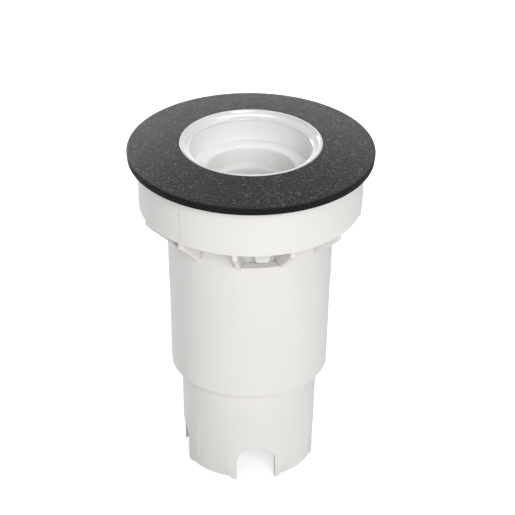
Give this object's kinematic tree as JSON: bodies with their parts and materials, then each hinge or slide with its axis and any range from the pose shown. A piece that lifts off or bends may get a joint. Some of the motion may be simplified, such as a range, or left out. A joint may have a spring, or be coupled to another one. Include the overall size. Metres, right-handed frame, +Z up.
{
  "type": "recessed ground light",
  "caption": "Round in-ground spotlight: a white mounting sleeve with cable arches, a lift-out lamp insert with a stepped glare baffle, and a twist-off charcoal trim ring over a white bezel.",
  "frame": {"origin": "On the axis of the light, level with the bottom of the small feet beside the cable arches", "axes": "+Z up along the light's axis, out of the lens; -Y is the front, where one cable arch and one collar pocket face; +X right"},
  "size_m": [0.1108, 0.1108, 0.1618],
  "materials": {
    "sleeve_plastic": "moulded white, fine satin",
    "lamp_plastic": "moulded white, matt",
    "bezel_plastic": "moulded white, half gloss",
    "trim_charcoal": "charcoal with a fine sandy grain",
    "screw_steel": "turned steel",
    "black_rubber": "moulded black rubber",
    "silicone": "grey-white silicone",
    "lens_glass": "clear toughened glass",
    "optic_clear": "clear moulded optic",
    "dark_plastic": "black moulded plastic",
    "optic_white": "white moulded plastic",
    "led_phosphor": "yellow phosphor on a white carrier",
    "lamp_board": "white solder mask on aluminium",
    "thermal_pad": "soft grey pad",
    "sink_aluminium": "die-cast, plain",
    "insulator_card": "pressed insulating card",
    "driver_laminate": "green solder mask",
    "capacitor_sleeve": "shrink sleeve",
    "choke_copper": "lacquered copper winding on a bobbin",
    "chip_plastic": "moulded package",
    "terminal_green": "green plastic",
    "lead_red": "insulated wire",
    "gland_plastic": "dark grey nylon"
  },
  "bodies": {
    "sleeve": {"upper_sleeve": "sleeve_plastic", "lower_sleeve": "sleeve_plastic", "head_collar": "sleeve_plastic", "pocket_cheeks": "sleeve_plastic", "pocket_floors": "sleeve_plastic", "insert_guide": "sleeve_plastic"},
    "insert": {"seat_gasket": "black_rubber", "lamp_housing": "lamp_plastic", "locating_keys": "lamp_plastic", "lock_ring": "lamp_plastic", "neck_gasket": "black_rubber", "baffle": "lamp_plastic", "baffle_screws": "screw_steel", "lens_glass": "lens_glass", "lens_gasket": "silicone", "lens_retainer": "dark_plastic", "collimator": "optic_clear", "optic_holder": "optic_white", "led_chip": "led_phosphor", "led_board": "lamp_board", "board_screws": "screw_steel", "thermal_pad": "thermal_pad", "heat_sink": "sink_aluminium", "heat_sink_screws": "screw_steel", "insulator_disc": "insulator_card", "driver_board": "driver_laminate", "driver_screws": "screw_steel", "driver_capacitors": "capacitor_sleeve", "driver_choke": "choke_copper", "driver_chips": "chip_plastic", "terminal_block": "terminal_green", "led_leads": "lead_red", "rear_cap": "lamp_plastic", "cap_o_ring": "black_rubber", "cap_screws": "screw_steel", "gland_washer": "black_rubber", "gland_body": "gland_plastic", "gland_locknut": "gland_plastic", "gland_seal": "black_rubber", "gland_nut": "gland_plastic", "vent_plug": "dark_plastic"},
    "bezel": {"bezel_ring": "bezel_plastic"},
    "trim": {"trim_ring": "trim_charcoal", "bezel_snap_ring": "screw_steel"}
  },
  "joints": [
    {"name": "insert_lift", "type": "slide", "parent": "sleeve", "child": "insert", "axis": [0, 0, 1], "range_m": [0, 0.125]},
    {"name": "bezel_rise", "type": "slide", "parent": "insert", "child": "bezel", "axis": [0, 0, 1], "range_m": [0, 0.00241]},
    {"name": "trim_turn", "type": "hinge", "parent": "bezel", "child": "trim", "pos_m": [0, 0, 0.155], "axis": [0, 0, 1], "range_deg": [0, 50]}
  ],
  "couplings": [
    {"joint": "bezel_rise", "follows": "trim_turn", "m_per_rad": 0.0027502}
  ]
}
